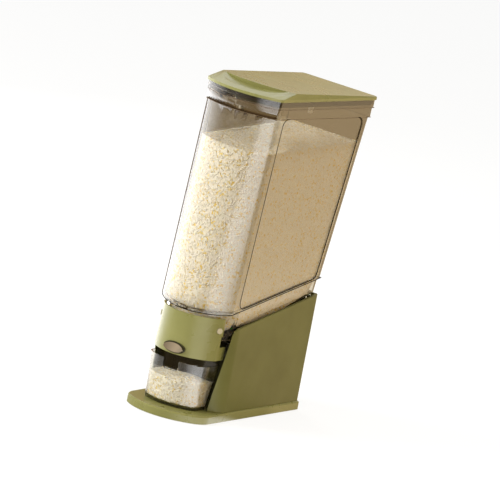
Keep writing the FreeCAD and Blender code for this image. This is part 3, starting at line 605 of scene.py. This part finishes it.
# %% Stack the rings
rice_low, rice_top = step_height + wall + rice_clearance, 327.6
levels = 12
rings = [ring_at(92 + 10 * k, step_rise * k / 5, True) for k in range(5)]
rings.append(ring_at(step_height - 0.6, step_rise, True))
rings.append(ring_at(rice_low, step_rise, False))
for k in range(1, levels + 1):
    share = k / levels
    rings.append(ring_at(rice_low + (rice_top - rice_low) * share, step_rise * (1 - share), False))
hopper_rice = skin_of_rings("hopper_rice_bed", rings, rice_bed, poured_roll)
print("rice bed faces", len(hopper_rice.data.polygons))

# %% [markdown]
# Loose grains. A grain of rice is about 6 mm long and 2 mm thick, and most of it hides between
# its neighbours, so a grain of 4.3 by 1.5 mm, lying flat, gives the pattern of the photograph.
# Geometry Nodes scatter it over the bed, each turned by a random angle, with its own size and
# tone. The seeds are fixed. The tree ends in Realize Instances and Set Material, and the result
# is kept as a plain mesh.

# %% The scattering tree
grain_length, grain_thickness, grain_flatness = 4.3, 1.5, 0.55
grain_lean = 0.12
smallest_grain, largest_grain = 0.82, 1.12


def grain_tree():
    tree = bpy.data.node_groups.new("scatter rice grains", "GeometryNodeTree")
    for name, kind, way in (("Geometry", "NodeSocketGeometry", "INPUT"),
                            ("Grain Length", "NodeSocketFloat", "INPUT"),
                            ("Grain Thickness", "NodeSocketFloat", "INPUT"),
                            ("Grains per Square Metre", "NodeSocketFloat", "INPUT"),
                            ("Seed", "NodeSocketInt", "INPUT"),
                            ("Material", "NodeSocketMaterial", "INPUT"),
                            ("Geometry", "NodeSocketGeometry", "OUTPUT")):
        tree.interface.new_socket(name, in_out=way, socket_type=kind)
    given = add_node(tree, "NodeGroupInput").outputs
    spots = add_node(tree, "GeometryNodeDistributePointsOnFaces", {}, {
        "Mesh": given["Geometry"], "Density": given["Grains per Square Metre"], "Seed": given["Seed"]})
    ball = add_node(tree, "GeometryNodeMeshIcoSphere", {}, {"Radius": 0.5, "Subdivisions": 1})
    lying = add_node(tree, "ShaderNodeMath", {"operation": "MULTIPLY"}, {
        0: given["Grain Thickness"], 1: grain_flatness})
    size = add_node(tree, "ShaderNodeCombineXYZ", {}, {
        "X": given["Grain Length"], "Y": given["Grain Thickness"], "Z": lying.outputs[0]})
    grain = add_node(tree, "GeometryNodeTransform", {}, {
        "Geometry": ball.outputs["Mesh"], "Scale": size.outputs["Vector"]})
    spin = add_node(tree, "FunctionNodeRandomValue", {"data_type": "FLOAT_VECTOR"}, {
        0: (-grain_lean, -grain_lean, 0.0), 1: (grain_lean, grain_lean, math.pi), "Seed": given["Seed"]})
    lay = add_node(tree, "FunctionNodeEulerToRotation", {}, {"Euler": spin.outputs["Value"]})
    both = add_node(tree, "FunctionNodeRotateRotation", {"rotation_space": "LOCAL"}, {
        "Rotation": spots.outputs["Rotation"], "Rotate By": lay.outputs["Rotation"]})
    growth = add_node(tree, "FunctionNodeRandomValue", {"data_type": "FLOAT"}, {
        2: smallest_grain, 3: largest_grain, "Seed": given["Seed"]})
    placed = add_node(tree, "GeometryNodeInstanceOnPoints", {}, {
        "Points": spots.outputs["Points"], "Instance": grain.outputs["Geometry"],
        "Rotation": both.outputs["Rotation"], "Scale": growth.outputs[1]})
    tone = add_node(tree, "FunctionNodeRandomValue", {"data_type": "FLOAT"}, {2: 0.0, 3: 1.0, "Seed": 7})
    per_grain = {"data_type": "FLOAT", "domain": "INSTANCE"}
    stored = add_node(tree, "GeometryNodeStoreNamedAttribute", per_grain, {
        "Geometry": placed.outputs["Instances"], "Name": "grain_tone", "Value": tone.outputs[1]})
    real = add_node(tree, "GeometryNodeRealizeInstances", {}, {"Geometry": stored.outputs["Geometry"]})
    smooth = add_node(tree, "GeometryNodeSetShadeSmooth", {}, {"Geometry": real.outputs["Geometry"]})
    dressed = add_node(tree, "GeometryNodeSetMaterial", {}, {
        "Geometry": smooth.outputs["Geometry"], "Material": given["Material"]})
    add_node(tree, "NodeGroupOutput", {}, {"Geometry": dressed.outputs["Geometry"]})
    return tree


rice_tree = grain_tree()
print("nodes in the scattering tree", len(rice_tree.nodes))


# %% Scatter the grains
def scatter_grains(bed, name, body, seed, per_square_metre):
    """loose grains over a bed, kept as a plain mesh"""
    return grown(name, bed.data, rice_tree, {
        "Grain Length": grain_length * mm, "Grain Thickness": grain_thickness * mm, "Seed": seed,
        "Grains per Square Metre": per_square_metre, "Material": rice_grain}, body)


for number, seed in enumerate((3, 8)):
    scatter_grains(hopper_rice, "hopper_rice_grains_" + str(number + 1), "hopper", seed, 60000)
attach(hopper_rice, "hopper")

# %% [markdown]
# The portion in the cup. The same two steps make it: a bed through rings that follow the cup's
# tapering wall, heaped towards the back where the spout pours, and grains over it.

# %% Rice in the cup
cup_foot, cup_height, cup_wall, cup_front_radius, cup_corner = 11.0, 55.6, 1.6, 60.0, 7.0


def cup_ring(z):
    """plan of the cup's inside at a height; every wall leans out by its own amount"""
    share = (z - cup_foot) / cup_height
    half = 36.4 + 4.0 * share - cup_wall - rice_clearance
    front = -121.0 - 1.6 * share + cup_wall + rice_clearance
    back = -78.5 + 7.0 * share - cup_wall - rice_clearance
    radius = cup_front_radius - cup_wall - rice_clearance
    bow = radius - math.sqrt(radius ** 2 - half ** 2)
    return [(x, y, z) for x, y in bowed_plan(half, front + bow, bow, back, cup_corner, 8)]


def heaped(x, y):
    """a low heap under the spout"""
    return 3.5 * math.exp(-((x / 22) ** 2 + ((y + 90) / 16) ** 2)) + 0.8 * math.sin(x / 9)


cup_rice = skin_of_rings("cup_rice_bed", [cup_ring(z) for z in (15.5, 18.0, 26.0, 35.0, 44.0)],
                         rice_bed, heaped)
scatter_grains(cup_rice, "cup_rice_grains", "cup", 5, 150000)
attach(cup_rice, "cup")

# %% [markdown]
# The floor. A pale floor carries the shadow, and most of its brightness is its own, so that it
# reads as the white of the photograph without more light on the bin. Upright walls mirror the
# floor, not the lamps, because the camera looks down on them. So the floor shows gloss rays a
# ring of bright and dark fields around the bin, by direction. Its white field on the left makes
# the glow on the hopper's left edge, the one right of the front makes the soft band at its front
# corner, and the tan ones warm its side. See-through rays that go far meet a smoky tan, which
# is the tone of the empty hopper.

# %% Floor
smoke = "6E5F47"
reach = 9.0
clear_within, smoky_beyond = 0.3, 0.8
own_light = 0.80
floor_mesh = bpy.data.meshes.new("floor")
floor_mesh.from_pydata([(-reach, -reach, 0), (reach, -reach, 0), (reach, reach, 0), (-reach, reach, 0)],
                       [], [(0, 1, 2, 3)])
floor_piece = put_in_scene("floor", floor_mesh)
floor_paint, tree = new_material("pale studio floor")
matt = add_node(tree, "ShaderNodeBsdfDiffuse", {}, {"Color": linear("E8E8E6")})
veil = add_node(tree, "ShaderNodeBsdfDiffuse", {}, {"Color": linear("8A8A88")})
own = add_node(tree, "ShaderNodeEmission", {}, {"Color": (1, 1, 1, 1), "Strength": own_light})
lit = add_node(tree, "ShaderNodeAddShader", {}, {0: veil.outputs["BSDF"], 1: own.outputs["Emission"]})

# the ring seen in gloss: degrees from the front, growing to the right, colour, strength
ring_stops = [(-180, "F6E8D0", 0.8), (-150, "8A6A48", 0.5), (-138, "8A6A48", 0.4), (-128, "FFFFFF", 3.4),
              (-82, "FFFFFF", 3.4), (-46, "F4EEE4", 0.4), (-30, "F4ECE0", 0.8), (6, "E8D8C0", 0.2),
              (22, "FFFFFF", 3.6), (44, "FFFFFF", 3.6), (62, "E8D8C0", 0.3), (112, "F0D0A0", 0.5),
              (134, "F0D4A8", 1.5), (160, "F0D4A8", 1.5)]
place = add_node(tree, "ShaderNodeTexCoord").outputs["Object"]
spot = add_node(tree, "ShaderNodeSeparateXYZ", {}, {"Vector": place}).outputs
to_front = add_node(tree, "ShaderNodeMath", {"operation": "MULTIPLY"}, {0: spot["Y"], 1: -1.0})
direction = add_node(tree, "ShaderNodeMath", {"operation": "ARCTAN2"}, {
    0: spot["X"], 1: to_front.outputs[0]})
turn = add_node(tree, "ShaderNodeMapRange", {}, {
    "Value": direction.outputs[0], "From Min": -math.pi, "From Max": math.pi})
ring = add_node(tree, "ShaderNodeValToRGB", {}, {"Fac": turn.outputs["Result"]})
ramp_colours(ring, [((angle + 180) / 360, colour, strength) for angle, colour, strength in ring_stops])
mirrored = add_node(tree, "ShaderNodeEmission", {}, {"Color": ring.outputs["Color"], "Strength": 1.0})

away = add_node(tree, "ShaderNodeVectorMath", {"operation": "LENGTH"}, {0: place}).outputs["Value"]
fade = add_node(tree, "ShaderNodeMapRange", {}, {
    "Value": away, "From Min": clear_within, "From Max": smoky_beyond})
behind = add_node(tree, "ShaderNodeMix", {"data_type": "RGBA"}, {
    0: fade.outputs["Result"], 6: linear("F6F5F2"), 7: linear(smoke)})
through = add_node(tree, "ShaderNodeEmission", {}, {"Color": behind.outputs[2], "Strength": 1.0})
path = add_node(tree, "ShaderNodeLightPath")
mix = matt.outputs["BSDF"]
for ray, view in (("Is Glossy Ray", mirrored.outputs["Emission"]),
                  ("Is Transmission Ray", through.outputs["Emission"]),
                  ("Is Camera Ray", lit.outputs["Shader"])):
    mix = add_node(tree, "ShaderNodeMixShader", {}, {
        0: path.outputs[ray], 1: mix, 2: view}).outputs["Shader"]
add_node(tree, "ShaderNodeOutputMaterial", {}, {"Surface": mix})
floor_mesh.materials.append(floor_paint)
print("fields in the mirror ring", len(ring_stops))

# %% [markdown]
# The air. It lights softly from all sides, is white to the camera, and shows gloss and
# see-through rays the same warm and smoky tones as the floor.

# %% World
world = bpy.data.worlds.new("studio")
bpy.context.scene.world = world
world.use_nodes = True
world.node_tree.nodes.clear()
tree = world.node_tree
path = add_node(tree, "ShaderNodeLightPath")
air = add_node(tree, "ShaderNodeBackground", {}, {
    "Color": (1, 1, 1, 1), "Strength": 0.5}).outputs["Background"]
for ray, colour, strength in (("Is Glossy Ray", "C9C0B0", 0.6), ("Is Transmission Ray", smoke, 1.0),
                              ("Is Camera Ray", "FFFFFF", 1.0)):
    view = add_node(tree, "ShaderNodeBackground", {}, {"Color": linear(colour), "Strength": strength})
    air = add_node(tree, "ShaderNodeMixShader", {}, {
        0: path.outputs[ray], 1: air, 2: view.outputs["Background"]}).outputs["Shader"]
add_node(tree, "ShaderNodeOutputWorld", {}, {"Surface": air})
print("world", world.name)

# %% [markdown]
# Lamps. The rice is brightest at the left front, so the key stands there. Weaker warm ones fill
# the right side, and soft ones stand above and at the left back. No clear wall mirrors a lamp:
# its hard edge would show, and the mirror ring and the cards do that work.

# %% Lamps
def on_circle(azimuth, distance, height):
    """azimuth 0 is the front, growing to the right"""
    angle = math.radians(azimuth)
    return Vector((distance * math.sin(angle), -distance * math.cos(angle), height))


def add_lamp(name, azimuth, height, distance, width, tall, power, aim_height, colour="FFFFFF"):
    """area lamp that looks at the bin's axis and shows in no gloss or clear wall"""
    light = bpy.data.lights.new(name, "AREA")
    light.shape = "RECTANGLE"
    light.size, light.size_y = width, tall
    light.energy = power
    light.color = linear(colour)[:3]
    lamp = put_in_scene(name, light)
    lamp.location = on_circle(azimuth, distance, height)
    lamp.rotation_mode = "QUATERNION"
    lamp.rotation_quaternion = (Vector((0, 0, aim_height)) - lamp.location).to_track_quat("-Z", "Y")
    lamp.visible_glossy = False
    lamp.visible_transmission = False


# each line: name, azimuth, height, distance, width, tall, power, height aimed at, colour
add_lamp("key softbox left", -50, 0.85, 1.7, 0.9, 1.6, 40, 0.3)
add_lamp("edge softbox left back", -122, 0.72, 1.5, 0.5, 1.4, 6, 0.72)
add_lamp("top softbox", 10, 1.9, 0.5, 1.4, 1.4, 7, 0.2)
add_lamp("fill softbox right", 95, 0.9, 1.6, 0.9, 1.3, 12.5, 0.3, "FFE2B8")
add_lamp("fill softbox front right", 42, 0.8, 1.7, 0.6, 1.2, 5, 0.3, "FFF2DE")
print("lamps", len(bpy.data.lights))

# %% [markdown]
# Mirror cards. The lid faces up, so it mirrors what stands behind the bin: a low warm card in
# its flat top, a high white one in its front slope, and one overhead in its finger recess. The
# cards show in gloss alone and light nothing, so the mirrors can be set without touching the
# light.

# %% Mirror cards
def add_card(name, azimuth, height, distance, width, tall, stops, aim_height):
    """glowing card seen in gloss only; its brightness runs along its width by colour stops"""
    angle = math.radians(azimuth)
    centre = on_circle(azimuth, distance, height)
    across = Vector((math.cos(angle), math.sin(angle), 0)) * width / 2
    upward = across.cross(Vector((0, 0, aim_height)) - centre).normalized() * -tall / 2
    mesh = bpy.data.meshes.new(name)
    mesh.from_pydata([centre - across - upward, centre + across - upward,
                      centre + across + upward, centre - across + upward], [], [(0, 1, 2, 3)])
    layer = mesh.uv_layers.new(name="card")
    for loop, u in zip(layer.data, (0, 1, 1, 0)):
        loop.uv = (u, 0.5)
    glow, tree = new_material(name)
    run = add_node(tree, "ShaderNodeUVMap", {"uv_map": "card"})
    along = add_node(tree, "ShaderNodeSeparateXYZ", {}, {"Vector": run.outputs["UV"]})
    level = add_node(tree, "ShaderNodeValToRGB", {}, {"Fac": along.outputs["X"]})
    ramp_colours(level, stops)
    light = add_node(tree, "ShaderNodeEmission", {}, {"Color": level.outputs["Color"], "Strength": 1.0})
    add_node(tree, "ShaderNodeOutputMaterial", {}, {"Surface": light.outputs["Emission"]})
    mesh.materials.append(glow)
    card = put_in_scene(name, mesh)
    card.visible_camera = card.visible_diffuse = card.visible_transmission = card.visible_shadow = False
    print(name, "at azimuth", azimuth)


# each line: name, azimuth, height, distance, width, tall, glow from left to right, height aimed at
add_card("high card", -149, 1.45, 1.8, 2.2, 1.5, [(0.0, "FFFFFF", 1.6), (1.0, "FFFFFF", 1.6)], 0.4)
add_card("overhead card", -178, 1.5, 0.55, 1.0, 0.8, [(0.0, "FFFFFF", 2.5), (1.0, "FFFFFF", 2.5)], 0.4)
add_card("warm card", -152, 0.28, 0.6, 0.39, 0.58, [(0.0, "F6DDBE", 1.2), (1.0, "D89858", 0.62)], 0.28)

# %% [markdown]
# The camera. The photograph was taken from far away, to the right of the front and a little
# above, and the picture is turned, so the bin leans. The camera's place was worked out from
# corners of the bin in the picture, as its distance, two turns, a roll and a shift.

# %% Camera
azimuth, elevation, roll = (math.radians(v) for v in (31.258, 12.665, 10.816))
distance_px, shift_x_px, shift_y_px, mm_per_px, target_y_mm = 22641.0, 8.403, -147.002, 1.19, 89.5
frame_px, sensor_mm = 500, 36.0
back = Vector((math.sin(azimuth) * math.cos(elevation), -math.cos(azimuth) * math.cos(elevation),
               math.sin(elevation)))
right = Vector((math.cos(azimuth), math.sin(azimuth), 0))
up = back.cross(right)
cam_right = right * math.cos(roll) + up * math.sin(roll)
cam_up = up * math.cos(roll) - right * math.sin(roll)
place = back * distance_px - cam_right * shift_x_px - cam_up * shift_y_px
place = (place * mm_per_px + Vector((0, target_y_mm, 0))) * mm
lens = bpy.data.cameras.new("camera")
lens.sensor_width = sensor_mm
lens.lens = sensor_mm * distance_px / frame_px
lens.clip_start, lens.clip_end = 1.0, 100.0
camera = put_in_scene("camera", lens)
camera.matrix_world = Matrix((
    (cam_right.x, cam_up.x, back.x, place.x), (cam_right.y, cam_up.y, back.y, place.y),
    (cam_right.z, cam_up.z, back.z, place.z), (0, 0, 0, 1)))
bpy.context.scene.camera = camera
bpy.context.scene.view_settings.view_transform = "Standard"
print("camera distance m", round(place.length, 3), "lens mm", round(lens.lens, 1))
